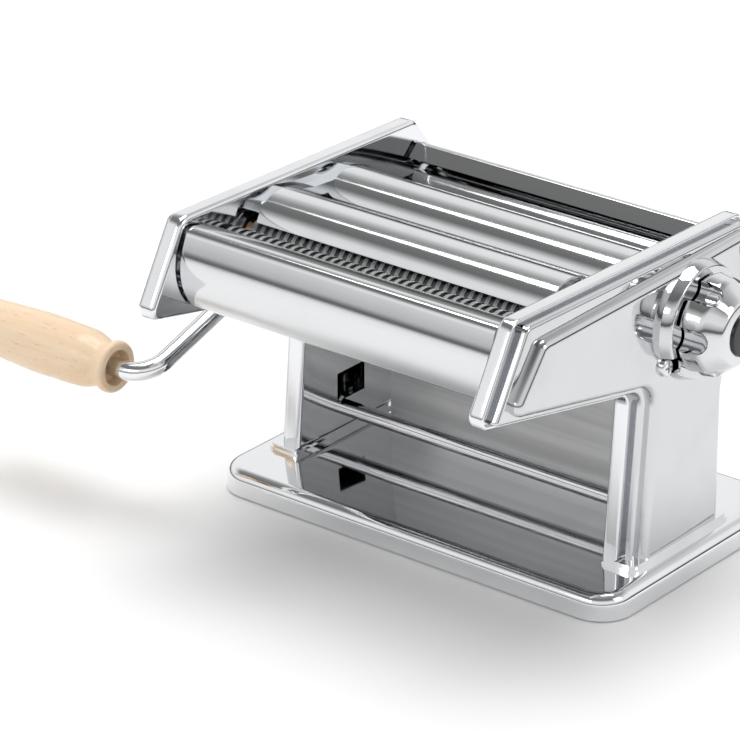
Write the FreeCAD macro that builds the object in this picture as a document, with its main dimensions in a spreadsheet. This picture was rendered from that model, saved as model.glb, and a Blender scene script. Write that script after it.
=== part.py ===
"""Hand-cranked pasta roller with two pairs of noodle cutters, as a parametric document.

Millimetres.  +X is the side with the thickness dial, +Y the back, +Z up.  The origin is the centre of the
face that the machine stands on.  The crank is on the -X side.
"""
import FreeCAD
import Part
import math
import os
from FreeCAD import Placement, Rotation, Vector

SIZES = {
    # base
    "base_length": 201.8, "base_depth": 127.0, "base_top": 11.3, "base_corner": 15.0, "base_edge": 5.0,
    "base_gauge": 1.2, "foot_height": 0.6, "foot_radius": 9.0,
    # side plates and covers, distances from the middle plane
    "wall_face": 77.2, "wall_gauge": 1.2, "rim_edge": 84.4, "block_edge": 83.8, "step_edge": 88.7,
    "cover_face": 92.6,
    "cover_gauge": 1.0, "bend_radius": 2.2, "dome_fillet": 3.6, "step_fillet": 1.5, "rim_fillet": 0.9,
    "groove_depth": 1.5, "shelf_top": 13.9, "shelf_edge": 94.0,
    # shaft places and rollers
    "drive_y": 39.0, "roller_z": 105.5, "roller_radius": 13.5, "roller_half": 75.0, "rest_gap": 0.3,
    "gap_travel": 2.2, "journal_radius": 6.0, "roller_teeth": 13.0, "gear_width": 3.5,
    "fine_front_y": -80.0, "fine_z": 118.6, "wide_front_y": -38.2, "wide_z": 111.0, "cutter_spacing": 19.1,
    "cutter_radius": 10.2, "cutter_root": 8.5, "cutter_journal": 5.0, "cutter_teeth": 12.0,
    "fine_strip": 2.0, "wide_strip": 6.5, "side_clearance": 0.15, "running_clearance": 0.05,
    # dial
    "dial_y": 1.5, "dial_z": 107.0, "dial_back": 98.0, "dial_front": 115.2, "dial_radius": 20.8,
    "cam_large": 16.2, "dial_turns": 300.0, "dial_pull": 3.5, "boss_radius": 24.5, "boss_height": 4.6,
    # crank
    "crank_plane": 105.2, "crank_end_y": -97.6, "crank_end_z": 60.9, "crank_rod": 4.0, "crank_bend": 12.0,
    "grip_start": 120.7, "grip_length": 78.0, "grip_radius": 12.7,
    # sheet metal between the sides
    "skin_gauge": 0.9, "panel_half": 75.8, "hood_half": 71.6, "tie_radius": 3.5,
}

doc = FreeCAD.newDocument("pasta_roller")
sheet = doc.addObject("Spreadsheet::Sheet", "Sizes")
for row, (alias, number) in enumerate(SIZES.items(), start=1):
    sheet.set("A%d" % row, alias)
    sheet.set("B%d" % row, str(number))
    sheet.setAlias("B%d" % row, alias)
doc.recompute()


def size(alias):
    """One driving dimension, read from the sheet."""
    return float(getattr(sheet, alias))


# ---------------------------------------------------------------- outlines

def rounded(corners):
    """Edges of a closed outline of (a, b, radius) corners, as straight runs and tangent arcs."""
    points = []
    count = len(corners)
    for i, (a, b, radius) in enumerate(corners):
        here = Vector(a, b, 0)
        before = Vector(corners[i - 1][0], corners[i - 1][1], 0) - here
        after = Vector(corners[(i + 1) % count][0], corners[(i + 1) % count][1], 0) - here
        before.normalize()
        after.normalize()
        half = before.getAngle(after) / 2
        if radius < 0.05:
            points.append((here, None, here))
            continue
        reach = radius / math.tan(half)
        middle = before + after
        middle.normalize()
        deepest = here + middle * (radius / math.sin(half) - radius)
        points.append((here + before * reach, deepest, here + after * reach))
    edges = []
    for i, (start, deepest, end) in enumerate(points):
        if deepest is not None:
            edges.append(Part.Arc(start, deepest, end))
        following = points[(i + 1) % count][0]
        if (following - end).Length > 0.01:
            edges.append(Part.LineSegment(end, following))
    return edges


def inset(corners, distances):
    """The corners moved inwards; one distance for all sides, or one for the side after each corner."""
    count = len(corners)
    if not isinstance(distances, (list, tuple)):
        distances = [distances] * count
    area = 0.0
    for i in range(count):
        a0, b0 = corners[i][:2]
        a1, b1 = corners[(i + 1) % count][:2]
        area += a0 * b1 - a1 * b0
    turn = 1 if area > 0 else -1
    lines = []
    for i in range(count):
        a0, b0 = corners[i][:2]
        a1, b1 = corners[(i + 1) % count][:2]
        length = math.hypot(a1 - a0, b1 - b0)
        along = ((a1 - a0) / length, (b1 - b0) / length)
        inward = (-along[1] * turn, along[0] * turn)
        lines.append((a0 + inward[0] * distances[i], b0 + inward[1] * distances[i], along))
    moved = []
    for i in range(count):
        a0, b0, d0 = lines[i - 1]
        a1, b1, d1 = lines[i]
        cross = d0[0] * d1[1] - d0[1] * d1[0]
        run = ((a1 - a0) * d1[1] - (b1 - b0) * d1[0]) / cross
        convex = cross * turn > 0
        shift = (distances[i - 1] + distances[i]) / 2
        radius = corners[i][2] - shift if convex else corners[i][2] + shift
        if corners[i][2] < 0.05:
            radius = 0
        moved.append((a0 + d0[0] * run, b0 + d0[1] * run, max(radius, 0.4 if corners[i][2] > 0 else 0)))
    return moved


def strip(path, gauge):
    """Closed outline of a bent sheet: an open path of (a, b, radius) corners, thickened to its left."""
    far = []
    for i, (a, b, radius) in enumerate(path):
        normals = []
        for j in (i - 1, i):
            if 0 <= j < len(path) - 1:
                run_a = path[j + 1][0] - path[j][0]
                run_b = path[j + 1][1] - path[j][1]
                length = math.hypot(run_a, run_b)
                normals.append((-run_b / length, run_a / length))
        if len(normals) == 1:
            normal = normals[0]
            far.append((a + normal[0] * gauge, b + normal[1] * gauge, 0))
            continue
        mean = (normals[0][0] + normals[1][0], normals[0][1] + normals[1][1])
        scale = gauge * 2 / (mean[0] ** 2 + mean[1] ** 2)
        cross = normals[0][0] * normals[1][1] - normals[0][1] * normals[1][0]
        other = radius - gauge if cross > 0 else radius + gauge
        far.append((a + mean[0] * scale, b + mean[1] * scale, max(other, 0.3)))
    return list(path) + far[::-1]


# ---------------------------------------------------------------- document objects

def new_body(name, y_alias=None, z_alias=None):
    """A body whose own X axis is a shaft line, when its place is given."""
    body = doc.addObject("PartDesign::Body", name)
    if y_alias:
        body.setExpression("Placement.Base.y", y_alias)
        body.setExpression("Placement.Base.z", z_alias)
    return body


def origin_plane(body, role):
    return next(item for item in body.Origin.OriginFeatures if item.Role == role)


def new_sketch(body, name, role, offset, edges):
    """A sketch on one of the body's own planes, moved along the plane's normal by an expression."""
    sketch = body.newObject("Sketcher::SketchObject", name)
    sketch.AttachmentSupport = (origin_plane(body, role), [""])
    sketch.MapMode = "FlatFace"
    if offset:
        sketch.setExpression("AttachmentOffset.Base.z", offset)
    sketch.addGeometry(edges, False)
    return sketch


def pad(body, name, role, offset, corners, length):
    """Pad a rounded outline; offset and length are expressions on the sheet."""
    sketch = new_sketch(body, name + "_outline", role, offset, rounded(corners))
    feature = body.newObject("PartDesign::Pad", name)
    feature.Profile = sketch
    feature.setExpression("Length", length)
    doc.recompute()
    return feature


def round_edges(body, name, base, test, radius):
    """Fillet those edges of the base feature that pass the test."""
    names = ["Edge%d" % (i + 1) for i, edge in enumerate(base.Shape.Edges) if test(edge)]
    feature = body.newObject("PartDesign::Fillet", name)
    feature.Base = (base, names)
    feature.setExpression("Radius", radius)
    doc.recompute()
    return feature


def turned(name, profile, y_alias=None, z_alias=None):
    """A turned piece: a closed (x, radius) outline revolved about the body's own X axis."""
    body = new_body(name, y_alias, z_alias)
    sketch = new_sketch(body, name + "_profile", "XY_Plane", None, rounded(profile))
    feature = body.newObject("PartDesign::Revolution", name + "_turn")
    feature.Profile = sketch
    feature.ReferenceAxis = (sketch, ["H_Axis"])
    feature.Angle = 360
    return body


def flat_at(direction, place):
    """Test for edges that lie in the plane where one coordinate has the given value."""
    def test(edge):
        box = edge.BoundBox
        low = getattr(box, direction + "Min")
        high = getattr(box, direction + "Max")
        return abs(low - place) < 1e-3 and abs(high - place) < 1e-3
    return test


def above_foot(test):
    """The same test, but not for edges that lie on the foot plate."""
    return lambda edge: test(edge) and edge.BoundBox.ZMax > size("shelf_top") + 0.5


def rod(name, y, z, start, end, radius):
    """A cylinder along X between two distances; all arguments but the name are expressions."""
    item = doc.addObject("Part::Cylinder", name)
    item.Placement = Placement(Vector(0, 0, 0), Rotation(Vector(0, 1, 0), 90))
    item.setExpression("Placement.Base.x", start)
    item.setExpression("Placement.Base.y", y)
    item.setExpression("Placement.Base.z", z)
    item.setExpression("Height", "(%s) - (%s)" % (end, start))
    item.setExpression("Radius", radius)
    return item


def block(name, low, high):
    """A box between two corners given as expressions."""
    item = doc.addObject("Part::Box", name)
    for axis, side, a, b in zip("xyz", ("Length", "Width", "Height"), low, high):
        item.setExpression("Placement.Base." + axis, str(a))
        item.setExpression(side, "(%s) - (%s)" % (b, a))
    return item


def cut(label, base, tools):
    """The base with the tools taken away; more than one tool is joined first."""
    tool = tools[0]
    if len(tools) > 1:
        tool = doc.addObject("Part::MultiFuse", label + "_tools")
        tool.Shapes = tools
    item = doc.addObject("Part::Cut", label)
    item.Base = base
    item.Tool = tool
    return item


def fuse(label, pieces):
    item = doc.addObject("Part::MultiFuse", label)
    item.Shapes = pieces
    return item


def group(label, pieces):
    """Separate solids that share one node."""
    item = doc.addObject("Part::Compound", label)
    item.Links = pieces
    return item


nodes = {}


def keep(label, item):
    """Name a finished sub-part."""
    item.Label = label
    nodes[label] = item
    return item


# ---------------------------------------------------------------- base

def base_outline(distance):
    half_x = size("base_length") / 2
    half_y = size("base_depth") / 2
    corner = size("base_corner")
    corners = [(-half_x, -half_y, corner), (half_x, -half_y, corner),
               (half_x, half_y, corner), (-half_x, half_y, corner)]
    return inset(corners, distance) if distance else corners


def make_base():
    """A pressed pan, open underneath, standing on four rubber feet."""
    outer = new_body("base_outer")
    slab = pad(outer, "base_slab", "XY_Plane", "Sizes.foot_height", base_outline(0),
               "Sizes.base_top - Sizes.foot_height")
    round_edges(outer, "base_round", slab, flat_at("Z", size("base_top")), "Sizes.base_edge")
    inner = new_body("base_inner")
    space = pad(inner, "base_space", "XY_Plane", "Sizes.foot_height - 1", base_outline(size("base_gauge")),
                "Sizes.base_top - Sizes.base_gauge - Sizes.foot_height + 1")
    round_edges(inner, "base_space_round", space, flat_at("Z", size("base_top") - size("base_gauge")),
                "Sizes.base_edge - Sizes.base_gauge")
    holes = []
    for i, (x, y) in enumerate(rivet_places()):
        hole = doc.addObject("Part::Cylinder", "base_hole_%d" % i)
        hole.Radius = RIVET_RADIUS + 0.1
        hole.Placement = Placement(Vector(x, y, 0), Rotation())
        hole.setExpression("Height", "Sizes.base_top + 1")
        holes.append(hole)
    keep("base_plate", cut("base_plate", outer, [inner] + holes))
    feet = []
    for i, (side_x, side_y) in enumerate([(-1, -1), (1, -1), (1, 1), (-1, 1)]):
        foot = doc.addObject("Part::Cylinder", "rubber_foot_%d" % i)
        foot.setExpression("Radius", "Sizes.foot_radius")
        foot.setExpression("Height", "Sizes.base_top - Sizes.base_gauge")
        foot.setExpression("Placement.Base.x", "%d * (Sizes.base_length / 2 - 17)" % side_x)
        foot.setExpression("Placement.Base.y", "%d * (Sizes.base_depth / 2 - 17)" % side_y)
        feet.append(foot)
    keep("rubber_feet", group("rubber_feet", feet))


RIVET_RADIUS = 2.0
RIVET_HEAD = 3.4


def rivet_places():
    """Two rivets through each side plate's foot, inside the covers."""
    return [(side * 84.0, y) for side in (-1, 1) for y in (-22.0, 14.0)]


def make_leg_rivets():
    """Round-headed rivets that hold the shelves and the base together."""
    top = size("shelf_top")
    under = size("base_top") - size("base_gauge")
    profile = [(under - 1.6, 0, 0), (under - 1.6, RIVET_HEAD, 0.8), (under, RIVET_HEAD, 0),
               (under, RIVET_RADIUS, 0), (top, RIVET_RADIUS, 0), (top, RIVET_HEAD, 0),
               (top + 1.6, RIVET_HEAD, 0.8), (top + 1.6, 0, 0)]
    solid = Part.Face(Part.Wire([edge.toShape() for edge in rounded(profile)]))
    solid = solid.revolve(Vector(0, 0, 0), Vector(1, 0, 0), 360)
    solid.Placement = Placement(Vector(0, 0, 0), Rotation(Vector(0, 1, 0), -90))
    rivets = []
    for x, y in rivet_places():
        rivet = solid.copy()
        rivet.Placement = Placement(Vector(x, y, 0), Rotation(Vector(0, 1, 0), -90))
        rivets.append(rivet)
    item = doc.addObject("Part::Feature", "leg_rivets")
    item.Shape = Part.makeCompound(rivets)
    keep("leg_rivets", item)


def shelf_outline(distance):
    """Plan of the flange that each leg stands on, on the +X side."""
    inner = size("wall_face")
    corners = [(inner, -37.6, 1.5), (size("shelf_edge"), -37.6, 5), (size("shelf_edge"), 29.6, 5),
               (inner, 29.6, 1.5)]
    return inset(corners, distance) if distance else corners


def mirrored(corners):
    """The same outline on the other side, kept in the same turning sense."""
    return [(-a, b, r) for a, b, r in corners][::-1]


def make_shelves():
    """A stepped foot plate under each leg."""
    for side, word in ((-1, "left"), (1, "right")):
        lower = shelf_outline(0)
        upper = shelf_outline(0.9)
        if side < 0:
            lower = mirrored(lower)
            upper = mirrored(upper)
        body = new_body(word + "_shelf_body")
        pad(body, word + "_shelf_low", "XY_Plane", "Sizes.base_top", lower,
            "(Sizes.shelf_top - Sizes.base_top) * 0.5")
        pad(body, word + "_shelf_high", "XY_Plane", "(Sizes.base_top + Sizes.shelf_top) / 2", upper,
            "(Sizes.shelf_top - Sizes.base_top) * 0.5")
        holes = []
        for i, (x, y) in enumerate(rivet_places()):
            if x * side > 0:
                hole = doc.addObject("Part::Cylinder", "%s_shelf_hole_%d" % (word, i))
                hole.Radius = RIVET_RADIUS + 0.1
                hole.Placement = Placement(Vector(x, y, 5), Rotation())
                hole.Height = 15
                holes.append(hole)
        keep(word + "_foot_plate", cut(word + "_foot_plate", body, holes))


# ---------------------------------------------------------------- sides

def side_outline():
    """The side of the machine as (y, z, radius) corners, from the nose, over the top, and round the leg."""
    foot = size("shelf_top")
    return [(-127.0, 102.6, 4.5), (-105.4, 140.0, 7.0), (41.5, 136.9, 7.0), (64.0, 108.5, 9.0),
            (57.5, 88.5, 9.0), (27.5, 82.0, 18.0), (27.5, foot, 0), (-36.8, foot, 0), (-31.0, 83.2, 5.0)]


def step_outline():
    """The cover's first step.  It stands back most at the nose and at the front of the leg."""
    return inset(side_outline(), [4.2, 2.4, 2.6, 2.5, 2.5, 2.5, 0.0, 3.9, 2.5])


def dome_outline():
    """The cover's raised face, lower at the nose end of its top edge."""
    corners = inset(side_outline(), [8.4, 4.6, 5.3, 5.0, 5.0, 5.0, 0.0, 7.9, 5.0])
    y, z, radius = corners[1]
    corners[1] = (y + 2.0, z - 4.5, 5.0)
    corners[0] = (corners[0][0], corners[0][1], 4.6)
    corners[2] = (corners[2][0], corners[2][1], 5.5)
    return corners


OPEN_SIDE = 6


def drawn_shell(name, side, layers, gauge_alias, fillets):
    """Outer and inner bodies of a drawn sheet part.

    Each layer is (outline, start, end); starts and ends are expressions for the +X side, and fillets gives
    the sheet name of the radius on the far edge of a layer, by the layer's number.  The inner body
    is the same stack one sheet thickness further in and one thickness lower; it runs out through the
    outline's lowest side, so that the cover is open above the foot plate.
    """
    gauge = size(gauge_alias)
    bodies = []
    for inner in (False, True):
        word = name + ("_inner" if inner else "_outer")
        body = new_body(word)
        last = None
        for i, (outline, start, end) in enumerate(layers):
            corners = inset(outline, [gauge] * OPEN_SIDE + [-3.0] + [gauge] * 2) if inner else outline
            if inner:
                end = "%s - Sizes.%s" % (end, gauge_alias)
                start = "%s - %s" % (start, "1" if i == 0 else "Sizes.%s" % gauge_alias)
            length = "(%s) - (%s)" % (end, start)
            offset = start if side > 0 else "-(%s)" % end
            last = pad(body, "%s_layer_%d" % (word, i), "YZ_Plane", offset, corners, length)
            if i in fillets:
                top = side * eval_length(end)
                radius = "Sizes.%s - %s" % (fillets[i], "Sizes.%s" % gauge_alias if inner else "0")
                last = round_edges(body, "%s_round_%d" % (word, i), last, above_foot(flat_at("X", top)), radius)
        bodies.append(body)
    return bodies


def eval_length(expression):
    """Value of a sum of sheet sizes and numbers, such as 'Sizes.a - Sizes.b + 2'."""
    total = 0.0
    sign = 1
    for word in expression.split():
        if word in "+-":
            sign = 1 if word == "+" else -1
            continue
        value = size(word[6:]) if word.startswith("Sizes.") else float(word)
        total += sign * value
    return total


SHAFTS = {
    "drive": ("Sizes.drive_y", "Sizes.roller_z"),
    "fine_front": ("Sizes.fine_front_y", "Sizes.fine_z"),
    "fine_rear": ("Sizes.fine_front_y + Sizes.cutter_spacing", "Sizes.fine_z"),
    "wide_front": ("Sizes.wide_front_y", "Sizes.wide_z"),
    "wide_rear": ("Sizes.wide_front_y + Sizes.cutter_spacing", "Sizes.wide_z"),
}
FRONT_Y = "Sizes.drive_y - 2 * Sizes.roller_radius - Sizes.rest_gap"
CRANK_SHAFTS = ("drive", "fine_front", "wide_front")
TIES = {"lower": (-6.6, 23.6), "nose": (-97.0, 107.3), "middle": (-48.6, 100.5)}
CARRIAGE_BAR = (-4.0, 91.0)
POSTS = [(-19.0, 94.0), (36.0, 125.2)]
TIE_NECK = 2.5
SCREW_HEAD = 4.1
BAR_RADIUS = 3.0
BUSH_WALL = 2.0
CLAMP_HOLE = (-10.6, 7.3, 27.0, 39.8)


def side_span(side, near, far):
    """Start and end along X of a piece between two distances from the middle, on one side."""
    return (near, far) if side > 0 else ("-(%s)" % far, "-(%s)" % near)


def slot_tool(name, side, y, z, radius, travel):
    """Cutter for a hole that is longer towards the front by the travel."""
    start, end = side_span(side, "Sizes.wall_face - 1", "Sizes.wall_face + 6")
    back = rod(name + "_back", y, z, start, end, radius)
    front = rod(name + "_front", "%s - %s" % (y, travel), z, start, end, radius)
    middle = block(name + "_middle", (start, "%s - %s" % (y, travel), "%s - %s" % (z, radius)),
                   (end, y, "%s + %s" % (z, radius)))
    return [back, front, middle]


def make_side_plates():
    """Trays with their rims turned outwards; they carry the bushes, ties and covers."""
    for side, word in ((-1, "left"), (1, "right")):
        name = word + "_plate"
        outer = new_body(name + "_outer")
        start, end = side_span(side, "Sizes.wall_face", "Sizes.rim_edge")
        slab = pad(outer, name + "_slab", "YZ_Plane", start, side_outline(),
                   "Sizes.rim_edge - Sizes.wall_face")
        face = side * size("wall_face")
        bend = round_edges(outer, name + "_bend", slab, flat_at("X", face), "Sizes.bend_radius")
        round_edges(outer, name + "_rim", bend, flat_at("X", side * size("rim_edge")), "Sizes.rim_fillet")
        inner = new_body(name + "_inner")
        start, end = side_span(side, "Sizes.wall_face + Sizes.wall_gauge", "Sizes.rim_edge + 1")
        space = pad(inner, name + "_space", "YZ_Plane", start, inset(side_outline(), size("wall_gauge")),
                    "Sizes.rim_edge + 1 - Sizes.wall_face - Sizes.wall_gauge")
        face = side * (size("wall_face") + size("wall_gauge"))
        round_edges(inner, name + "_space_bend", space, flat_at("X", face),
                    "Sizes.bend_radius - Sizes.wall_gauge")
        start, end = side_span(side, "Sizes.wall_face - 1", "Sizes.wall_face + 4")
        tools = [inner]
        for shaft, (y, z) in SHAFTS.items():
            journal = "Sizes.journal_radius" if shaft == "drive" else "Sizes.cutter_journal"
            tools.append(rod("%s_%s_hole" % (name, shaft), y, z, start, end, "%s + %s" % (journal, BUSH_WALL)))
        tools += slot_tool(name + "_journal_slot", side, FRONT_Y, "Sizes.roller_z",
                           "(Sizes.journal_radius + 0.8)", "Sizes.gap_travel")
        tools += slot_tool(name + "_bar_slot", side, str(CARRIAGE_BAR[0]), str(CARRIAGE_BAR[1]),
                           str(BAR_RADIUS + 0.5), "Sizes.gap_travel")
        for tie, (y, z) in TIES.items():
            tools.append(rod("%s_%s_tie_hole" % (name, tie), str(y), str(z), start, end,
                             str(TIE_NECK + 0.05)))
        low_y, high_y, low_z, high_z = CLAMP_HOLE
        tools.append(block(name + "_clamp_hole", (start, low_y, low_z), (end, high_y, high_z)))
        for x, y in rivet_places():
            if x * side > 0 and abs(x) - RIVET_RADIUS * 2 < size("rim_edge"):
                head = doc.addObject("Part::Cylinder", "%s_rivet_room_%d" % (name, len(tools)))
                head.Radius = RIVET_RADIUS * 2
                head.Height = 4
                head.Placement = Placement(Vector(x, y, size("shelf_top") - 0.5), Rotation())
                tools.append(head)
        keep(word + "_side_plate", cut(word + "_side_plate", outer, tools))


def make_covers():
    """Deep-drawn covers: a flange inside the side plate's rim, a step, and a raised face."""
    for side, word in ((-1, "left"), (1, "right")):
        name = word + "_cover"
        flange = inset(side_outline(), size("wall_gauge") + 0.05)
        layers = [(flange, "Sizes.rim_edge - 2.8", "Sizes.rim_edge - Sizes.groove_depth"),
                  (step_outline(), "Sizes.rim_edge - Sizes.groove_depth", "Sizes.step_edge"),
                  (dome_outline(), "Sizes.step_edge", "Sizes.cover_face")]
        outer, inner = drawn_shell(name, side, layers, "cover_gauge",
                                   {1: "step_fillet", 2: "dome_fillet"})
        start, end = side_span(side, "Sizes.rim_edge - 3", "Sizes.rim_edge")
        tools = [inner, block(name + "_tray_room", (start, -45, "Sizes.shelf_top - 1"),
                              (end, 45, "Sizes.shelf_top + Sizes.wall_gauge + 0.05"))]
        start, end = side_span(side, "Sizes.cover_face - 4", "Sizes.cover_face + 6")
        for i, (y, z) in enumerate(POSTS):
            tools.append(rod("%s_screw_hole_%d" % (name, i), str(y), str(z), start, end, "2.2"))
        if side < 0:
            for shaft in CRANK_SHAFTS:
                y, z = SHAFTS[shaft]
                tools.append(rod("%s_%s_hole" % (name, shaft), y, z, start, end, "8"))
            keep(name, cut(name, outer, tools))
            continue
        tools.append(rod(name + "_dial_hole", "Sizes.dial_y", "Sizes.dial_z", start, end, "7"))
        radius = size("boss_radius")
        foot = size("step_edge") - 0.5
        face = size("cover_face") + size("boss_height")
        under = face - size("cover_gauge")
        boss = turned(name + "_boss", [(foot, 0, 0), (foot, radius, 0), (size("cover_face"), radius, 0),
                                       (face, radius - 1.5, 1.2), (face, 0, 0)],
                      "Sizes.dial_y", "Sizes.dial_z")
        hollow = turned(name + "_boss_hollow", [(foot - 2, 0, 0), (foot - 2, radius - 1.3, 0),
                                                (under - 2, radius - 1.3, 0), (under, radius - 2.8, 0.8),
                                                (under, 0, 0)],
                        "Sizes.dial_y", "Sizes.dial_z")
        screw_y, screw_z = POSTS[0]
        tools.append(rod(name + "_screw_seat", str(screw_y), str(screw_z), "Sizes.cover_face",
                         "Sizes.cover_face + 6", str(SCREW_HEAD + 0.5)))
        keep(name, cut(name, fuse(name + "_pressed", [outer, boss]), tools + [hollow]))


def make_cover_fixings():
    """Threaded posts on the side plates, and the screws that hold the covers."""
    posts = []
    screws = []
    for side, word in ((-1, "left"), (1, "right")):
        for i, (y, z) in enumerate(POSTS):
            start, end = side_span(side, "Sizes.wall_face + Sizes.wall_gauge",
                                   "Sizes.cover_face - Sizes.cover_gauge")
            post = rod("%s_post_%d" % (word, i), str(y), str(z), start, end, "3.0")
            bore_start, bore_end = side_span(side, "Sizes.cover_face - 10", "Sizes.cover_face + 1")
            bore = rod("%s_post_bore_%d" % (word, i), str(y), str(z), bore_start, bore_end, "2.05")
            posts.append(cut("%s_threaded_post_%d" % (word, i), post, [bore]))
            face = size("cover_face")
            profile = [(face - 8.5, 0, 0), (face - 8.5, 2.0, 0.4), (face, 2.0, 0), (face, SCREW_HEAD, 0),
                       (face + 2.2, 3.6, 1.4), (face + 2.2, 0, 0)]
            body = turned("%s_screw_%d" % (word, i), profile)
            turn = 180 if side < 0 else 0
            body.Placement = Placement(Vector(0, y, z), Rotation(Vector(0, 0, 1), turn))
            slots = []
            for j, (width, height) in enumerate(((4.4, 0.9), (0.9, 4.4))):
                slot = block("%s_recess_%d_%d" % (word, i, j),
                             (side_span(side, "Sizes.cover_face + 1", "Sizes.cover_face + 3")[0],
                              y - width / 2, z - height / 2),
                             (side_span(side, "Sizes.cover_face + 1", "Sizes.cover_face + 3")[1],
                              y + width / 2, z + height / 2))
                slots.append(slot)
            screws.append(cut("%s_cover_screw_%d" % (word, i), body, slots))
    keep("cover_posts", group("cover_posts", posts))
    keep("cover_screws", group("cover_screws", screws))


# ---------------------------------------------------------------- sheet metal between the sides

def make_sheet(label, path, half_alias):
    """A bent sheet that spans the machine."""
    body = new_body(label)
    pad(body, label + "_sheet", "YZ_Plane", "-Sizes." + half_alias, strip(path, size("skin_gauge")),
        "2 * Sizes." + half_alias)
    return keep(label, body)


def make_skins():
    """Front panel, the curved covers over the cutters, the hood with its chute, and the back panel."""
    top = size("base_top")
    make_sheet("front_panel", [(-93.5, 101.9, 0), (-101.5, 100.9, 4.0), (-112.5, 116.0, 24.0),
                               (-104.5, 136.4, 4.5), (-92.0, 134.0, 2.0), (-91.2, 128.5, 0)][::-1], "panel_half")
    make_sheet("front_roller_cover", [(-67.9, 127.6, 0), (-64.0, 136.6, 15.0), (-43.0, 137.6, 20.5),
                                      (-34.0, 124.6, 0)][::-1], "hood_half")
    make_sheet("middle_roller_cover", [(-25.0, 121.0, 0), (-21.5, 132.6, 14.5), (0.5, 133.4, 20.0),
                                       (8.2, 121.9, 0)][::-1], "hood_half")
    make_sheet("rear_hood", [(35.0, 122.4, 0), (40.6, 127.8, 1.6), (44.4, 126.6, 1.4), (61.0, 108.3, 8.0),
                             (55.6, 91.2, 0)][::-1], "panel_half")
    make_sheet("back_panel", [(54.9, 90.2, 0), (26.0, 83.2, 16.0), (26.0, top, 0)][::-1], "wall_face")


def make_end_guides():
    """Blocks that close the rollers' ends and carry the covers' edges.

    They leave room for the front roller at both ends of its travel.
    """
    corners = [(-65.0, 129.6, 0.6), (-61.5, 133.6, 3.0), (-46.0, 134.4, 6.0), (-31.5, 131.4, 2.0),
               (-20.0, 130.6, 2.0), (-4.0, 131.0, 6.0), (13.0, 126.4, 3.0), (33.0, 120.6, 0.6),
               (33.0, 117.4, 0.6), (-8.0, 117.4, 0.6), (-8.0, 124.4, 0.6), (-52.0, 129.6, 0.6)]
    for side, word in ((-1, "left"), (1, "right")):
        body = new_body(word + "_guide_body")
        start, end = side_span(side, "Sizes.hood_half", "Sizes.wall_face")
        pad(body, word + "_guide_block", "YZ_Plane", start, corners, "Sizes.wall_face - Sizes.hood_half")
        room_places = (FRONT_Y, FRONT_Y + " - Sizes.gap_travel", "Sizes.drive_y")
        rooms = [rod("%s_guide_room_%d" % (word, i), y, "Sizes.roller_z", "-90", "90",
                     "Sizes.roller_radius + 0.4") for i, y in enumerate(room_places)]
        keep(word + "_end_guide", cut(word + "_end_guide", body, rooms))


def make_ties():
    """Shouldered rods that set the distance between the side plates, and their nuts."""
    rods = {}
    nuts = []
    wall = size("wall_face")
    for tie, (y, z) in TIES.items():
        radius = size("tie_radius") if tie == "lower" else 3.0
        profile = [(-wall - 4.6, 0, 0), (-wall - 4.6, TIE_NECK, 0.4), (-wall, TIE_NECK, 0), (-wall, radius, 0),
                   (wall, radius, 0), (wall, TIE_NECK, 0), (wall + 4.6, TIE_NECK, 0.4), (wall + 4.6, 0, 0)]
        body = turned(tie + "_tie", profile)
        body.Placement = Placement(Vector(0, y, z), Rotation())
        rods[tie] = body
        for side in (-1, 1):
            nut = doc.addObject("Part::Prism", "%s_nut_%d" % (tie, side))
            nut.Polygon = 6
            nut.Circumradius = 4.6
            nut.Height = 3
            start = wall + size("wall_gauge") if side > 0 else -wall - size("wall_gauge") - 3
            nut.Placement = Placement(Vector(start, y, z), Rotation(Vector(0, 1, 0), 90))
            bore = rod("%s_nut_bore_%d" % (tie, side), str(y), str(z), str(start - 1), str(start + 4),
                       str(TIE_NECK + 0.05))
            nuts.append(cut("%s_tie_nut_%d" % (tie, side), nut, [bore]))
    keep("lower_tie_rod", rods["lower"])
    keep("upper_tie_rods", group("upper_tie_rods", [rods["nose"], rods["middle"]]))
    keep("tie_rod_nuts", group("tie_rod_nuts", nuts))


# ---------------------------------------------------------------- bushes, guides, strippers

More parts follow.
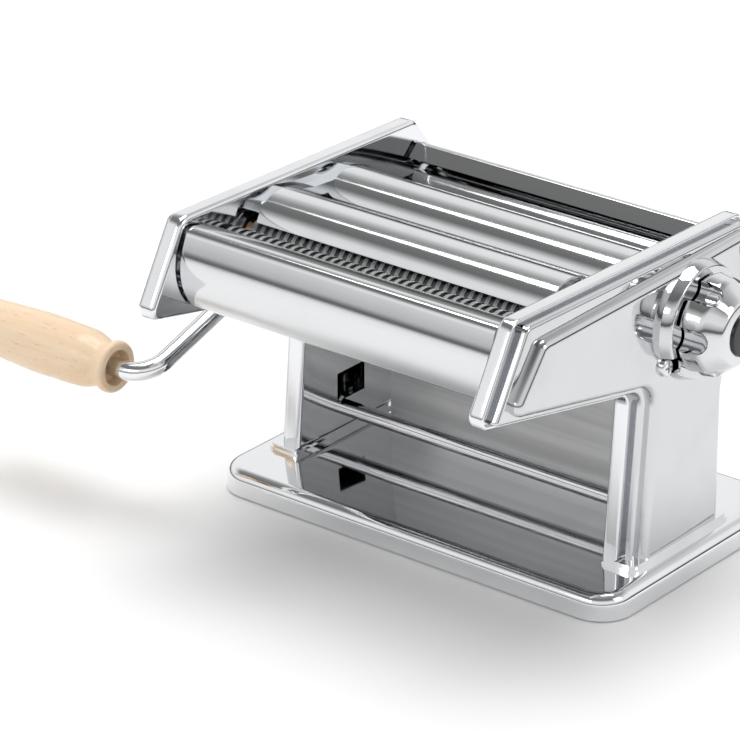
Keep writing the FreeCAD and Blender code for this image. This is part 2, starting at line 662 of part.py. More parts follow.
def make_bushes():
    """Flanged bushes for the five fixed shafts, both ends."""
    bushes = []
    for shaft, (y, z) in SHAFTS.items():
        journal = "Sizes.journal_radius" if shaft == "drive" else "Sizes.cutter_journal"
        for side, word in ((-1, "left"), (1, "right")):
            start, end = side_span(side, "Sizes.wall_face - 1.6", "Sizes.wall_face + 2.4")
            ring = rod("%s_%s_bush_ring" % (shaft, word), y, z, start, end, "%s + %s" % (journal, BUSH_WALL - 0.02))
            hole_start, hole_end = side_span(side, "Sizes.wall_face - 4", "Sizes.wall_face + 5")
            hole = rod("%s_%s_bush_hole" % (shaft, word), y, z, hole_start, hole_end,
                       "%s + Sizes.running_clearance" % journal)
            bushes.append(cut("%s_%s_bush" % (shaft, word), ring, [hole]))
    keep("roller_bushes", group("roller_bushes", bushes))
    ferrules = []
    for shaft in CRANK_SHAFTS:
        y, z = SHAFTS[shaft]
        face = size("cover_face")
        profile = [(face - 2.6, 6.6, 0), (face - 2.6, 7.95, 0), (face, 7.95, 0), (face, 10.0, 0),
                   (face + 1.3, 9.4, 0.6), (face + 1.3, 6.6, 0.4)]
        body = turned(shaft + "_ferrule", profile)
        body.setExpression("Placement.Base.y", y)
        body.setExpression("Placement.Base.z", z)
        body.Placement = Placement(Vector(0, 0, 0), Rotation(Vector(0, 0, 1), 180))
        ferrules.append(body)
    keep("crank_ferrules", group("crank_ferrules", ferrules))
    face = size("cover_face") + size("boss_height")
    profile = [(face - 3.4, 4.05, 0), (face - 3.4, 6.95, 0), (face, 6.95, 0), (face, 4.05, 0)]
    keep("dial_bush", turned("dial_bush", profile, "Sizes.dial_y", "Sizes.dial_z"))


def comb(shaft_y, shaft_z, strip_alias, offset, side):
    """A stripper comb whose fingers stand in one cutter's grooves, below its middle."""
    pitch = 2 * size(strip_alias)
    reach = size("cutter_root") + 0.35
    width = size(strip_alias) - 2 * size("side_clearance") - 0.3
    half = size("roller_half")
    bar_y = shaft_y - side * 6.5
    bar_z = shaft_z - size("cutter_radius") - 3.4
    tip = Vector(0, shaft_y - side * reach * 0.35, shaft_z - reach * 0.94)
    finger = [Vector(0, bar_y - 1.2, bar_z), Vector(0, bar_y + 1.2, bar_z), tip]
    pieces = [Part.makeBox(2 * size("wall_face"), 4.0, 2.4, Vector(-size("wall_face"), bar_y - 2.0, bar_z - 2.2))]
    first = -half + offset
    count = int((2 * half - offset) / pitch)
    for i in range(count):
        x = first + i * pitch + (size(strip_alias) - width) / 2
        blade = Part.Face(Part.makePolygon(finger + finger[:1])).extrude(Vector(width, 0, 0))
        blade.translate(Vector(x, 0, 0))
        pieces.append(blade)
    return pieces[0].multiFuse(pieces[1:]).removeSplitter()


def make_strippers():
    """Combs under both cutters of each pair, and the blade under the drive roller."""
    for word in ("fine", "wide"):
        front_y = size(word + "_front_y")
        rear_y = front_y + size("cutter_spacing")
        z = size(word + "_z")
        strip_width = size(word + "_strip")
        front = comb(front_y, z, word + "_strip", strip_width, 1)
        rear = comb(rear_y, z, word + "_strip", 0.0, -1)
        item = doc.addObject("Part::Feature", word + "_strippers")
        item.Shape = Part.makeCompound([front, rear])
        keep(word + "_strippers", item)
    make_blade("drive_stripper", "Sizes.drive_y", 1, "wall_face")


def make_blade(label, y_alias, side, half_alias):
    """A straight stripper blade that stops just short of a smooth roller, below and outside it."""
    body = new_body(label, y_alias, "Sizes.roller_z")
    radius = size("roller_radius") + 0.35
    angle = math.radians(62)
    tip = (side * radius * math.cos(angle), -radius * math.sin(angle))
    corners = [(tip[0], tip[1], 0), (tip[0] + side * 0.3, tip[1] - 0.9, 0),
               (tip[0] - side * 3.6, tip[1] - 3.5, 0), (tip[0] - side * 3.9, tip[1] - 2.6, 0)]
    pad(body, label + "_blade", "YZ_Plane", "-Sizes." + half_alias, corners, "2 * Sizes." + half_alias)
    return keep(label, body)


# ---------------------------------------------------------------- gears and rollers

def gear_shape(teeth, pitch_radius, width, bore, phase, backlash):
    """Spur gear about the X axis with involute flanks; phase turns a tooth's middle away from +Y."""
    module = 2 * pitch_radius / teeth
    base_radius = pitch_radius * math.cos(math.radians(20))
    tip_radius = pitch_radius + 0.95 * module
    root_radius = pitch_radius - 1.25 * module
    half_tooth = math.pi / (2 * teeth) - backlash / (2 * pitch_radius)
    at_pitch = math.tan(math.radians(20)) - math.radians(20)
    start = max(root_radius, base_radius)
    edges = []

    def point(radius, angle):
        return Vector(0, radius * math.cos(angle), radius * math.sin(angle))

    flank = []
    for i in range(7):
        radius = start + (tip_radius - start) * i / 6
        pressure = math.acos(base_radius / radius)
        flank.append((radius, half_tooth + at_pitch - (math.tan(pressure) - pressure)))
    for tooth in range(int(teeth)):
        middle = phase + 2 * math.pi * tooth / teeth
        following = middle + 2 * math.pi / teeth
        rising = Part.BSplineCurve()
        rising.interpolate([point(r, middle - a) for r, a in flank])
        falling = Part.BSplineCurve()
        falling.interpolate([point(r, middle + a) for r, a in flank[::-1]])
        low = flank[0][1]
        tip = flank[-1][1]
        edges.append(Part.makeLine(point(root_radius, middle - low), point(start, middle - low)))
        edges.append(rising.toShape())
        edges.append(Part.Arc(point(tip_radius, middle - tip), point(tip_radius, middle),
                              point(tip_radius, middle + tip)).toShape())
        edges.append(falling.toShape())
        edges.append(Part.makeLine(point(start, middle + low), point(root_radius, middle + low)))
        gap = (middle + following) / 2
        edges.append(Part.Arc(point(root_radius, middle + low), point(root_radius, gap),
                              point(root_radius, following - low)).toShape())
    outline = Part.Wire(edges)
    hole = Part.Wire([Part.makeCircle(bore, Vector(0, 0, 0), Vector(1, 0, 0))])
    face = Part.makeFace([outline, hole], "Part::FaceMakerBullseye")
    return face.extrude(Vector(width, 0, 0))


GEAR_NEAR = 84.1


def make_gear(label, y, z, teeth, pitch_radius, bore, phase):
    """A gear outside the left side plate, kept on its journal by a small clearance."""
    item = doc.addObject("Part::Feature", label)
    item.Shape = gear_shape(teeth, pitch_radius, size("gear_width"), bore, phase, 0.35)
    item.Placement = Placement(Vector(-GEAR_NEAR - size("gear_width"), y, z), Rotation())
    return keep(label, item)


def square_socket(name, y, z, deep):
    """Cutter for the square hole that takes the crank's end."""
    reach = 3.1
    return block(name, (-93.5, "%s - %s" % (y, reach), "%s - %s" % (z, reach)),
                 (deep, "%s + %s" % (y, reach), "%s + %s" % (z, reach)))


def roller_profile(left_end, right_end, journal, radius):
    """Plain roller with a journal at each end and a small chamfer on its edges."""
    half = size("roller_half")
    return [(left_end, 0, 0), (left_end, journal, 0.3), (-half, journal, 0), (-half, radius, 0.5),
            (half, radius, 0.5), (half, journal, 0), (right_end, journal, 0.3), (right_end, 0, 0)]


def make_smooth_rollers():
    """The driven rear roller and the front roller that the dial moves away from it."""
    journal = size("journal_radius")
    radius = size("roller_radius")
    pitch_radius = radius + size("rest_gap") / 2
    teeth = int(size("roller_teeth"))
    blank = turned("drive_roller_blank", roller_profile(-91.4, 81.2, journal, radius),
                   "Sizes.drive_y", "Sizes.roller_z")
    keep("drive_roller", cut("drive_roller", blank,
                             [square_socket("drive_socket", "Sizes.drive_y", "Sizes.roller_z", -72)]))
    make_gear("drive_gear", size("drive_y"), size("roller_z"), teeth, pitch_radius, journal + 0.02, math.pi)
    front_y = size("drive_y") - 2 * pitch_radius
    keep("front_roller", turned("front_roller", roller_profile(-90.6, 83.6, journal, radius),
                                FRONT_Y, "Sizes.roller_z"))
    make_gear("front_roller_gear", front_y, size("roller_z"), teeth, pitch_radius, journal + 0.02,
              math.pi / teeth)


def cutter_profile(strip_alias, offset, left_end):
    """Outline of a cutter: discs one strip wide with grooves between them, starting after the offset."""
    half = size("roller_half")
    journal = size("cutter_journal")
    radius = size("cutter_radius")
    root = size("cutter_root")
    width = size(strip_alias)
    play = size("side_clearance") / 2
    corners = [(left_end, 0, 0), (left_end, journal, 0.3), (-half, journal, 0), (-half, root, 0)]
    x = -half + offset
    while x + width <= half:
        corners += [(x + play, root, 0), (x + play, radius, 0.2), (x + width - play, radius, 0.2),
                    (x + width - play, root, 0)]
        x += 2 * width
    corners += [(half, root, 0), (half, journal, 0), (81.2, journal, 0.3), (81.2, 0, 0)]
    return corners


def make_cutters():
    """Two pairs of grooved cutters, each pair geared together; the front one of each pair takes the crank."""
    teeth = int(size("cutter_teeth"))
    pitch_radius = size("cutter_spacing") / 2
    bore = size("cutter_journal") + 0.02
    for word in ("fine", "wide"):
        strip_alias = word + "_strip"
        for row, offset, phase in (("front", 0.0, 0.0), ("rear", size(strip_alias), math.pi * (1 + 1 / teeth))):
            y, z = SHAFTS["%s_%s" % (word, row)]
            left_end = -91.4 if row == "front" else -90.6
            label = "%s_%s_cutter" % (word, row)
            profile = cutter_profile(strip_alias, offset + 0.01, left_end)
            blank = turned(label + "_blank", profile, y, z)
            if row == "front":
                socket = block(label + "_socket", (-93.5, y + " - 3.1", z + " - 3.1"),
                               (-72, y + " + 3.1", z + " + 3.1"))
                keep(label, cut(label, blank, [socket]))
            else:
                keep(label, blank)
            shaft_y = size(word + "_front_y") + (size("cutter_spacing") if row == "rear" else 0)
            make_gear(label.replace("cutter", "gear"), shaft_y, size(word + "_z"), teeth, pitch_radius, bore,
                      phase)


# ---------------------------------------------------------------- gap carriage and dial

def make_carriage():
    """Two sliding blocks tied by a bar; they carry the front roller and follow the dial's cam."""
    for side, word in ((-1, "left"), (1, "right")):
        body = new_body(word + "_block_body")
        start, end = side_span(side, "Sizes.wall_face + Sizes.wall_gauge + 0.3", "Sizes.block_edge")
        corners = [(-9.5, 85.8, 2.0), (1.5, 85.8, 2.0), (5.5, 95.4, 1.0), (23.0, 95.4, 1.0),
                   (23.0, 115.6, 1.0), (-9.5, 115.6, 1.0)]
        pad(body, word + "_block_slab", "YZ_Plane", start, corners,
            "Sizes.block_edge - Sizes.wall_face - Sizes.wall_gauge - 0.3")
        far_start, far_end = side_span(side, "Sizes.wall_face", "Sizes.rim_edge + 2")
        bore = rod(word + "_block_bore", FRONT_Y, "Sizes.roller_z", far_start, far_end,
                   "Sizes.journal_radius + Sizes.running_clearance")
        seat = rod(word + "_block_seat", str(CARRIAGE_BAR[0]), str(CARRIAGE_BAR[1]), far_start, far_end,
                   str(BAR_RADIUS + 0.02))
        keep(word + "_bearing_block", cut(word + "_bearing_block", body, [bore, seat]))
    keep("carriage_bar", rod("carriage_bar", str(CARRIAGE_BAR[0]), str(CARRIAGE_BAR[1]),
                             "-Sizes.block_edge", "Sizes.block_edge", str(BAR_RADIUS)))
    keep("cam_follower", rod("cam_follower", "Sizes.dial_y + Sizes.cam_large + 2.12", "Sizes.dial_z",
                             "Sizes.block_edge", "Sizes.block_edge + 4.2", "2"))
    make_blade("front_stripper", FRONT_Y, -1, "roller_half")
    guides = []
    for side, word in ((-1, "left"), (1, "right")):
        start, end = side_span(side, "Sizes.wall_face + Sizes.wall_gauge", "Sizes.block_edge")
        for part, low_z, low_y in (("upper", 115.7, -12.0), ("lower", 93.3, 8.6)):
            guides.append(block("%s_%s_guide" % (word, part), (start, low_y, low_z), (end, 23.4, low_z + 2.0)))
    keep("carriage_guides", group("carriage_guides", guides))


def cam_shape():
    """Snail cam about the X axis: its radius grows evenly over the dial's turn, then drops back."""
    large = size("cam_large")
    turn = size("dial_turns")
    fall = size("gap_travel") / turn
    spare = 14.0

    def point(degrees):
        radius = large + fall * min(degrees, spare)
        return Vector(0, radius * math.cos(math.radians(degrees)), radius * math.sin(math.radians(degrees)))

    low = -turn - spare
    spiral = Part.BSplineCurve()
    spiral.interpolate([point(low + (spare - low) * i / 48) for i in range(49)])
    wire = Part.Wire([spiral.toShape(), Part.makeLine(point(spare), point(low))])
    return Part.Face(wire).extrude(Vector(3.6, 0, 0))


def make_dial():
    """Shaft and cam, and the fluted knob that pulls out against a spring before it turns."""
    back = size("dial_back")
    front = size("dial_front")
    item = doc.addObject("Part::Feature", "dial_cam")
    hole = Part.makeCylinder(4.02, 8, Vector(-2, 0, 0), Vector(1, 0, 0))
    item.Shape = cam_shape().cut(hole)
    item.Placement = Placement(Vector(size("block_edge") + 0.7, size("dial_y"), size("dial_z")), Rotation())
    keep("dial_cam", item)
    near = size("block_edge") + 0.4
    collar = near + 4.0
    shoulder = size("cover_face") + size("boss_height") - 3.8
    neck = back - 0.1
    head = back + 12.0
    profile = [(near, 0, 0), (near, 4.0, 0.3), (collar, 4.0, 0), (collar, 5.4, 0), (shoulder, 5.4, 0),
               (shoulder, 4.0, 0), (neck, 4.0, 0), (neck, 3.0, 0), (head, 3.0, 0), (head, 5.6, 0),
               (head + 1.6, 5.6, 0.4), (head + 1.6, 0, 0)]
    blank = turned("dial_shaft_blank", profile, "Sizes.dial_y", "Sizes.dial_z")
    square = block("dial_shaft_square", (neck, "Sizes.dial_y - 2.6", "Sizes.dial_z - 2.6"),
                   (head + 0.1, "Sizes.dial_y + 2.6", "Sizes.dial_z + 2.6"))
    keep("dial_shaft", fuse("dial_shaft", [blank, square]))
    radius = size("dial_radius")
    profile = [(back, 0, 0), (back, radius - 1.0, 0.8), (back + 2.0, radius, 2.0), (back + 9.0, radius - 1.2, 6.0),
               (front - 0.8, 13.0, 3.0), (front, 9.8, 0.6), (front, 0, 0)]
    blank = turned("dial_knob_blank", profile, "Sizes.dial_y", "Sizes.dial_z")
    cuts = []
    for i in range(6):
        angle = math.radians(60 * i)
        y = size("dial_y") + (radius - 0.4) * math.cos(angle)
        z = size("dial_z") + (radius - 0.4) * math.sin(angle)
        flute = doc.addObject("Part::Cylinder", "flute_%d" % i)
        flute.Radius = 5.2
        flute.Height = back + 8.2 - (back - 1)
        flute.Placement = Placement(Vector(back - 1, y, z), Rotation(Vector(0, 1, 0), 90))
        nose = doc.addObject("Part::Sphere", "flute_nose_%d" % i)
        nose.Radius = 5.2
        nose.Placement = Placement(Vector(back + 8.2, y, z), Rotation())
        cuts += [flute, nose]
    cuts.append(block("knob_square", (back - 1, "Sizes.dial_y - 3.1", "Sizes.dial_z - 3.1"),
                      (back + 6, "Sizes.dial_y + 3.1", "Sizes.dial_z + 3.1")))
    cuts.append(rod("knob_well", "Sizes.dial_y", "Sizes.dial_z", str(back + 2.6), str(front + 1), "7.4"))
    keep("dial_knob", cut("dial_knob", blank, cuts))
    profile = [(front - 1.0, 0, 0), (front - 1.0, 7.3, 0), (front, 7.3, 0), (front, 9.3, 0),
               (front + 1.2, 8.9, 0.8), (front + 1.5, 0, 0)]
    keep("dial_cap", turned("dial_cap", profile, "Sizes.dial_y", "Sizes.dial_z"))
    turns = 3
    helix = Part.makeHelix(1.3, 1.3 * turns, 5.0)
    ring = Part.Wire([Part.makeCircle(0.5, Vector(5.0, 0, 0), Vector(0, 1, 0))])
    coil = Part.Wire(helix).makePipeShell([ring], True, True)
    coil.rotate(Vector(0, 0, 0), Vector(0, 1, 0), 90)
    item = doc.addObject("Part::Feature", "dial_spring")
    item.Shape = coil
    item.Placement = Placement(Vector(head - 0.6 - 1.3 * turns, size("dial_y"), size("dial_z")),
                               Rotation(Vector(0, 1, 0), 90))
    keep("dial_spring", item)


# ---------------------------------------------------------------- crank

def make_crank():
    """A bent rod with a square end, and a wooden grip that turns freely on it."""
    plane = -size("crank_plane")
    start_y, start_z = size("drive_y"), size("roller_z")
    end_y, end_z = size("crank_end_y"), size("crank_end_z")
    bend = size("crank_bend")
    radius = size("crank_rod")
    arm = Vector(0, end_y - start_y, end_z - start_z)
    arm.normalize()
    first = Vector(plane, start_y, start_z)
    second = Vector(plane, end_y, end_z)
    socket_bend = 7.0
    spindle_end = -size("grip_start") - size("grip_length") + 8.6
    middle = math.sqrt(0.5)
    out = Vector(-1, 0, 0)

    def corner(point, before, after, r):
        """Tangent arc at a right-angled corner of the rod's centre line."""
        centre = point - before * r + after * r
        return Part.Arc(point - before * r, centre + before * r * middle - after * r * middle, point + after * r)

    bend_one = corner(first, out, arm, socket_bend)
    bend_two = corner(second, arm, out, bend)
    drive_face = -93.6
    spine = Part.Wire([
        Part.makeLine(Vector(drive_face, start_y, start_z), first - out * socket_bend),
        bend_one.toShape(),
        Part.makeLine(first + arm * socket_bend, second - arm * bend),
        bend_two.toShape(),
        Part.makeLine(second + out * bend, Vector(spindle_end, end_y, end_z))])
    ring = Part.Wire([Part.makeCircle(radius, Vector(drive_face, start_y, start_z), Vector(1, 0, 0))])
    tube = spine.makePipeShell([ring], True, True)
    key = Part.makeBox(18.6, 6.0, 6.0, Vector(drive_face - 0.1, start_y - 3.0, start_z - 3.0))
    collar = Part.makeCylinder(5.6, 1.8, Vector(drive_face - 1.9, start_y, start_z), Vector(1, 0, 0))
    item = doc.addObject("Part::Feature", "crank_arm")
    item.Shape = tube.fuse([key, collar]).removeSplitter()
    keep("crank_arm", item)
    near = size("grip_start")
    far = near + size("grip_length")
    grip = size("grip_radius")
    bore = radius + 0.08
    profile = [(near + 5.5, bore, 0), (near + 5.5, 7.4, 0), (near, 7.4, 0.6), (near, 10.9, 1.6),
               (near + 3.0, 10.9, 1.2), (near + 6.5, 9.1, 2.6), (near + 15.0, grip - 0.6, 16.0),
               (near + 40.0, grip, 60.0), (far - 5.0, grip - 1.6, 5.0), (far, 9.0, 1.2),
               (far, 6.6, 0.4), (far - 10.0, 6.6, 0), (far - 10.0, bore, 0)]
    body = turned("handle_grip_body", profile)
    body.Placement = Placement(Vector(0, end_y, end_z), Rotation(Vector(0, 0, 1), 180))
    keep("handle_grip", body)
    head = far - 8.6
    profile = [(head - 1.0, radius + 0.02, 0), (head - 1.0, 6.2, 0), (head + 0.2, 6.2, 0),
               (head + 0.2, radius + 0.02, 0)]
    body = turned("grip_washer_body", profile)
    body.Placement = Placement(Vector(0, end_y, end_z), Rotation(Vector(0, 0, 1), 180))
    keep("grip_washer", body)


# ---------------------------------------------------------------- build, check and write

make_base()
make_leg_rivets()
make_shelves()
make_side_plates()
make_covers()
make_cover_fixings()
make_skins()
make_end_guides()
make_ties()
make_bushes()
make_strippers()
make_smooth_rollers()
make_cutters()
make_carriage()
make_dial()
make_crank()
doc.recompute()

for item in doc.Objects:
    if "Invalid" in item.State or "Error" in item.State:
        raise RuntimeError("%s failed: %s" % (item.Name, item.State))
os.makedirs("parts", exist_ok=True)
for label, item in nodes.items():
    shape = item.Shape
    if shape.isNull() or not shape.isValid() or not shape.Solids:
        raise RuntimeError("%s has no valid solid" % label)
    shape.exportStep("parts/%s.step" % label)
    print("%-22s solids %2d volume %10.1f" % (label, len(shape.Solids), shape.Volume))
print(len(nodes), "nodes")
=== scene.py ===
"""Looks of a hand-cranked pasta roller: chromed sheet, turned rollers, a fluted dial and a beech grip.

Metres.  +X is the side with the dial, +Y the back, +Z up.
"""
import math

import bpy
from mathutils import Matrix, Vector

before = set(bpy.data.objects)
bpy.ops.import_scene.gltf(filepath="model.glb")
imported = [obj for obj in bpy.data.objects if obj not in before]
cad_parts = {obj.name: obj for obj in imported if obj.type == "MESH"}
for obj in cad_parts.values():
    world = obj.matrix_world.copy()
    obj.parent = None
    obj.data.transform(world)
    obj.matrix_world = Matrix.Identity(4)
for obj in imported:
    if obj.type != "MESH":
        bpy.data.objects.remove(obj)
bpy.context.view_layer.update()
scene = bpy.context.scene
scene.view_settings.view_transform = "Standard"

LENS = 218.57
LENS_PLACE = (0.9937, -1.3250, 0.8079)
LENS_BACKWARDS = (0.56993, -0.71101, 0.41188)
FLOOR_RADIUS = 9.0
LAMPS_FACE = (0, 0, 0.08)
CORNER_ANGLE = math.radians(28)
WELD_DISTANCE = 1e-6


# ---------------------------------------------------------------- camera, floor and light

def look_through_lens():
    """Long lens, a little above the machine, from the front and the dial's side."""
    data = bpy.data.cameras.new("camera")
    data.sensor_width = 36.0
    data.lens = LENS
    data.clip_start = 0.05
    data.clip_end = 50.0
    camera = bpy.data.objects.new("camera", data)
    camera.location = LENS_PLACE
    camera.rotation_euler = Vector(LENS_BACKWARDS).to_track_quat("Z", "Y").to_euler()
    scene.collection.objects.link(camera)
    scene.camera = camera


class Value:
    """A number inside a node tree.  Arithmetic on it adds Math nodes."""

    def __init__(self, tree, socket):
        self.tree = tree
        self.socket = socket

    def math(self, operation, *values):
        node = self.tree.nodes.new("ShaderNodeMath")
        node.operation = operation
        for socket, value in zip(node.inputs, values):
            put(self.tree, socket, value)
        return Value(self.tree, node.outputs[0])

    def __add__(self, other):
        return self.math("ADD", self, other)

    def __radd__(self, other):
        return self.math("ADD", other, self)

    def __mul__(self, other):
        return self.math("MULTIPLY", self, other)

    def between(self, low, high):
        """0 below low, 1 above high, and a smooth rise between them."""
        node = self.tree.nodes.new("ShaderNodeMapRange")
        node.interpolation_type = "SMOOTHSTEP"
        put(self.tree, node.inputs["Value"], self)
        node.inputs["From Min"].default_value = low
        node.inputs["From Max"].default_value = high
        return Value(self.tree, node.outputs["Result"])


def put(tree, socket, value):
    """Link a value to a socket, or write a plain number or colour into it."""
    if isinstance(value, Value):
        tree.links.new(value.socket, socket)
    else:
        socket.default_value = value


class Finish:
    """A node tree for one finish, with short ways to add the nodes it needs."""

    def __init__(self, name, owner=None):
        self.owner = owner or bpy.data.materials.new(name)
        self.owner.use_nodes = True
        self.tree = self.owner.node_tree
        self.tree.nodes.clear()

    def node(self, kind, settings=None, sockets=None, out=0):
        """Add a node: its settings first, then its sockets.  Returns one output."""
        node = self.tree.nodes.new(kind)
        for key, value in (settings or {}).items():
            if key == "stops":
                self.fill_ramp(node.color_ramp, value)
            else:
                setattr(node, key, value)
        for key, value in (sockets or {}).items():
            put(self.tree, node.inputs[key], value)
        return Value(self.tree, node.outputs[out]) if len(node.outputs) else node

    @staticmethod
    def fill_ramp(ramp, stops):
        while len(ramp.elements) < len(stops):
            ramp.elements.new(0.5)
        for element, (place, colour) in zip(ramp.elements, stops):
            element.position = place
            element.color = colour

    def place(self, scale=(1, 1, 1)):
        """Object coordinates in metres, stretched."""
        where = self.node("ShaderNodeTexCoord", out="Object")
        return self.node("ShaderNodeMapping", {}, {"Vector": where, "Scale": scale})

    def noise(self, where, scale, detail=2.0, roughness=0.5):
        return self.node("ShaderNodeTexNoise", {"noise_dimensions": "3D"},
                         {"Vector": where, "Scale": scale, "Detail": detail, "Roughness": roughness}, "Fac")

    def blend(self, amount, first, second):
        """Mix of two colours."""
        return self.node("ShaderNodeMix", {"data_type": "RGBA"}, {"Factor": amount, 6: first, 7: second}, 2)

    def bump(self, height, strength, distance):
        return self.node("ShaderNodeBump", {}, {"Height": height, "Strength": strength, "Distance": distance})

    def surface(self, sockets):
        shader = self.node("ShaderNodeBsdfPrincipled", {}, sockets)
        self.node("ShaderNodeOutputMaterial", {}, {"Surface": shader})
        return self.owner


def polished(name, tint, rough=0.045, wave=0.12, lay=None):
    """Chrome plate over pressed sheet: slow waves, faint rubbing marks and a few cloudy patches."""
    f = Finish(name)
    here = f.place()
    clouds = f.noise(here, 34.0, 3.0, 0.55)
    rubbed = f.noise(f.place(lay or (70.0, 900.0, 260.0)), 1.0, 4.0, 0.6)
    waves = f.noise(here, 21.0, 1.0)
    patches = clouds.between(0.45, 0.75)
    colour = f.blend(patches, tint + (1,), tuple(c * 0.95 for c in tint) + (1,))
    return f.surface({"Base Color": colour, "Metallic": 1.0,
                      "Roughness": rough + patches * 0.03 + rubbed.between(0.5, 0.8) * 0.03,
                      "Normal": f.bump(waves, wave, 0.0012)})


def drawn_along(name, tint, rough, depth=0.10, spread=0.10, metal=1.0):
    """Sheet or bar with fine lines that run along X.  Metal below 1 gives a duller, paler sheet."""
    f = Finish(name)
    lines = f.noise(f.place((3.0, 1500.0, 1500.0)), 1.0, 3.0, 0.7)
    broad = f.noise(f.place((2.0, 160.0, 160.0)), 1.0, 2.0)
    worn = f.noise(f.place(), 40.0, 3.0)
    colour = f.blend(broad.between(0.35, 0.7), tint + (1,), tuple(c * 0.86 for c in tint) + (1,))
    return f.surface({"Base Color": colour, "Metallic": metal,
                      "Roughness": rough + lines * spread + worn.between(0.5, 0.8) * 0.05,
                      "Normal": f.bump(lines, depth, 0.00004)})


def turned_round(name, tint, rough):
    """Metal turned on a lathe about X: fine rings across the length."""
    f = Finish(name)
    rings = f.noise(f.place((2600.0, 40.0, 40.0)), 1.0, 2.0)
    worn = f.noise(f.place(), 55.0, 3.0)
    colour = f.blend(worn.between(0.4, 0.75), tint + (1,), tuple(c * 0.82 for c in tint) + (1,))
    return f.surface({"Base Color": colour, "Metallic": 1.0,
                      "Roughness": rough + rings * 0.12 + worn.between(0.5, 0.8) * 0.06,
                      "Normal": f.bump(rings, 0.2, 0.00003)})


def beech():
    """Pale beech, turned with its grain along the handle, flecked and clear varnished."""
    f = Finish("beech_grip")
    grain = f.noise(f.place((7.0, 85.0, 85.0)), 1.0, 4.0, 0.6)
    fine = f.noise(f.place((26.0, 620.0, 620.0)), 1.0, 3.0, 0.65)
    flecks = f.noise(f.place((190.0, 1500.0, 1500.0)), 1.0, 1.0).between(0.64, 0.74)
    base = f.blend(grain.between(0.32, 0.72), (0.86, 0.67, 0.47, 1), (0.80, 0.58, 0.38, 1))
    base = f.blend(fine.between(0.45, 0.8) * 0.35, base, (0.70, 0.48, 0.30, 1))
    base = f.blend(flecks * 0.4, base, (0.40, 0.22, 0.11, 1))
    return f.surface({"Base Color": base, "Roughness": 0.36 + fine * 0.12, "Coat Weight": 0.25,
                      "Normal": f.bump(fine, 0.12, 0.00012)})


def black_cap():
    """Glossy black plastic with a moulded, slightly orange-peeled skin."""
    f = Finish("black_plastic_cap")
    skin = f.noise(f.place(), 420.0, 2.0)
    dust = f.noise(f.place(), 90.0, 4.0)
    colour = f.blend(dust.between(0.55, 0.85), (0.012, 0.012, 0.014, 1), (0.03, 0.03, 0.032, 1))
    return f.surface({"Base Color": colour, "Roughness": 0.14 + dust * 0.14,
                      "Normal": f.bump(skin, 0.08, 0.0002)})


def dull(name, tint, rough, grain, depth):
    """Rubber or unpolished plastic with a fine moulded grain."""
    f = Finish(name)
    skin = f.noise(f.place(), grain, 3.0)
    patches = f.noise(f.place(), 45.0, 3.0)
    colour = f.blend(patches.between(0.35, 0.75), tint + (1,), tuple(c * 0.8 for c in tint) + (1,))
    return f.surface({"Base Color": colour, "Roughness": rough + skin * 0.12,
                      "Normal": f.bump(skin, 0.3, depth)})


def light_studio():
    """A pale floor, a bright ceiling, and a dark band round the horizon for the chrome to pick up."""
    bpy.ops.mesh.primitive_circle_add(vertices=96, radius=FLOOR_RADIUS, fill_type="NGON")
    floor = bpy.context.object
    floor.name = "floor"
    f = Finish("pale_floor")
    mottle = f.noise(f.place(), 3.0, 2.0)
    tone = f.blend(mottle, (0.88, 0.88, 0.88, 1), (0.90, 0.90, 0.90, 1))
    floor.data.materials.append(f.surface({"Base Color": tone, "Roughness": 0.8}))

    world = bpy.data.worlds.new("studio")
    scene.world = world
    w = Finish("studio", world)
    ray = w.node("ShaderNodeTexCoord", out="Generated")
    height = w.node("ShaderNodeSeparateXYZ", {}, {"Vector": ray}, "Z")
    towards_back = w.node("ShaderNodeSeparateXYZ", {}, {"Vector": ray}, "Y")
    climb = height * 0.5 + 0.5

    def sky(*stops):
        greys = [(place, (level, level, level, 1)) for place, level in stops]
        return w.node("ShaderNodeValToRGB", {"stops": greys}, {"Fac": climb}, "Color")

    behind = sky((0.0, 0.6), (0.47, 0.5), (0.49, 0.01), (0.54, 0.01), (0.58, 0.45), (0.63, 1.0), (0.78, 0.95),
                 (0.90, 0.35), (1.0, 0.4))
    ahead = sky((0.0, 0.6), (0.46, 0.5), (0.49, 0.16), (0.53, 0.16), (0.57, 0.55), (0.66, 0.95), (0.76, 0.88),
                (0.86, 0.18), (0.93, 0.22), (1.0, 0.4))
    room = w.blend(towards_back.between(-0.15, 0.45), ahead, behind)
    seen = w.node("ShaderNodeLightPath", out="Is Camera Ray")
    tone = w.blend(seen, room, (0.95, 0.95, 0.95, 1))
    back = w.node("ShaderNodeBackground", {}, {"Color": tone, "Strength": 1.0})
    w.node("ShaderNodeOutputWorld", {}, {"Surface": back})

    for name, place, width, depth, power in (
            ("ceiling_box", (-0.4, 0.3, 2.1), 1.7, 1.2, 34),
            ("dial_side_box", (2.0, 0.2, 1.5), 0.9, 1.0, 8),
            ("front_box", (-0.4, -2.2, 1.3), 1.6, 0.4, 8)):
        data = bpy.data.lights.new(name, "AREA")
        data.shape = "RECTANGLE"
        data.size = width
        data.size_y = depth
        data.energy = power
        lamp = bpy.data.objects.new(name, data)
        lamp.location = place
        lamp.rotation_euler = (Vector(place) - Vector(LAMPS_FACE)).to_track_quat("Z", "Y").to_euler()
        scene.collection.objects.link(lamp)


# ---------------------------------------------------------------- finishes on the parts

def paint(material, names):
    for name in names.split():
        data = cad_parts[name].data
        data.materials.clear()
        data.materials.append(material)


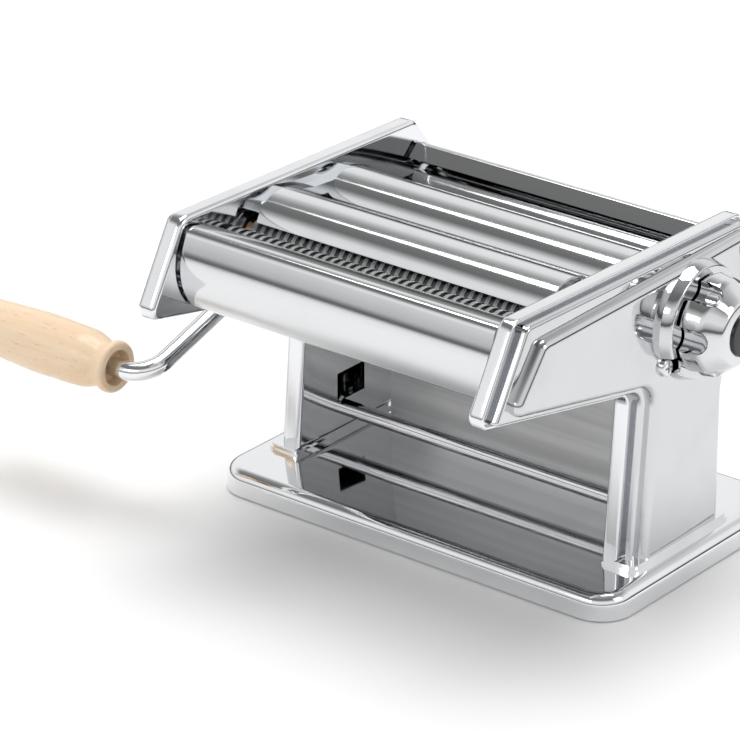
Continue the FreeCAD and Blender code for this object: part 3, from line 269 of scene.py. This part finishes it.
def soften_shading():
    """Nodes that join each part's facets and shade them smooth, except at real corners."""
    tree = bpy.data.node_groups.new("smooth_between_corners", "GeometryNodeTree")
    tree.interface.new_socket("Geometry", in_out="INPUT", socket_type="NodeSocketGeometry")
    tree.interface.new_socket("Corner Angle", in_out="INPUT", socket_type="NodeSocketFloat")
    tree.interface.new_socket("Geometry", in_out="OUTPUT", socket_type="NodeSocketGeometry")
    nodes, link = tree.nodes, tree.links.new
    start = nodes.new("NodeGroupInput")
    end = nodes.new("NodeGroupOutput")
    merge = nodes.new("GeometryNodeMergeByDistance")
    merge.inputs["Distance"].default_value = WELD_DISTANCE
    angle = nodes.new("GeometryNodeInputMeshEdgeAngle")
    sharp = nodes.new("FunctionNodeCompare")
    sharp.data_type = "FLOAT"
    sharp.operation = "LESS_THAN"
    faces = nodes.new("GeometryNodeSetShadeSmooth")
    faces.domain = "FACE"
    edges = nodes.new("GeometryNodeSetShadeSmooth")
    edges.domain = "EDGE"
    link(start.outputs["Geometry"], merge.inputs["Geometry"])
    link(merge.outputs["Geometry"], faces.inputs["Geometry"])
    link(faces.outputs["Geometry"], edges.inputs["Geometry"])
    link(angle.outputs["Unsigned Angle"], sharp.inputs["A"])
    link(start.outputs["Corner Angle"], sharp.inputs["B"])
    link(sharp.outputs["Result"], edges.inputs["Shade Smooth"])
    link(edges.outputs["Geometry"], end.inputs["Geometry"])
    entry = next(s for s in tree.interface.items_tree if s.name == "Corner Angle")
    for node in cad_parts.values():
        modifier = node.modifiers.new("smooth", "NODES")
        modifier.node_group = tree
        modifier[entry.identifier] = CORNER_ANGLE


look_through_lens()
light_studio()
soften_shading()

# The side covers get a darker tint than the other chrome parts. This is painted shade: the colour stands in
# for the darker look of the dial-side cover's face, while the chrome itself is the same plating.
paint(polished("chrome_covers_painted_shade", (0.65, 0.66, 0.675)), "left_cover right_cover")
paint(polished("chrome_base", (0.84, 0.85, 0.86), 0.05), "base_plate left_foot_plate right_foot_plate")
paint(polished("chrome_sides", (0.82, 0.83, 0.85), 0.07, 0.1), "left_side_plate right_side_plate")
paint(polished("chrome_skins", (0.74, 0.75, 0.76), 0.09, 0.06, (4.0, 700.0, 700.0)),
      "front_panel front_roller_cover middle_roller_cover rear_hood")
paint(polished("chrome_dial", (0.74, 0.75, 0.76), 0.04, 0.05), "dial_knob")
paint(polished("chrome_crank", (0.84, 0.85, 0.86), 0.05, 0.04), "crank_arm")
paint(drawn_along("satin_back_panel", (0.86, 0.86, 0.86), 0.38, metal=0.35), "back_panel")
paint(drawn_along("ground_rollers", (0.76, 0.77, 0.78), 0.07, 0.05, 0.05), "drive_roller front_roller")
paint(turned_round("turned_cutters", (0.36, 0.365, 0.37), 0.20),
      "fine_front_cutter fine_rear_cutter wide_front_cutter wide_rear_cutter")
paint(drawn_along("satin_steel", (0.58, 0.59, 0.60), 0.22),
      "fine_strippers wide_strippers drive_stripper front_stripper carriage_guides left_bearing_block "
      "right_bearing_block carriage_bar cam_follower dial_shaft dial_cam dial_spring")
paint(turned_round("machined_gears", (0.50, 0.50, 0.51), 0.24),
      "drive_gear front_roller_gear fine_front_gear fine_rear_gear wide_front_gear wide_rear_gear")
paint(polished("zinc_hardware", (0.74, 0.75, 0.76), 0.12, 0.05),
      "leg_rivets cover_screws cover_posts tie_rod_nuts grip_washer crank_ferrules")
paint(drawn_along("bright_tie_rods", (0.78, 0.79, 0.80), 0.08, 0.04, 0.04), "lower_tie_rod upper_tie_rods")
paint(turned_round("bronze_bushes", (0.62, 0.42, 0.20), 0.24), "roller_bushes dial_bush")
paint(polished("chrome_end_guides", (0.74, 0.77, 0.80), 0.10, 0.1), "left_end_guide right_end_guide")
paint(dull("black_rubber", (0.022, 0.022, 0.022), 0.62, 500.0, 0.0003), "rubber_feet")
paint(beech(), "handle_grip")
paint(black_cap(), "dial_cap")
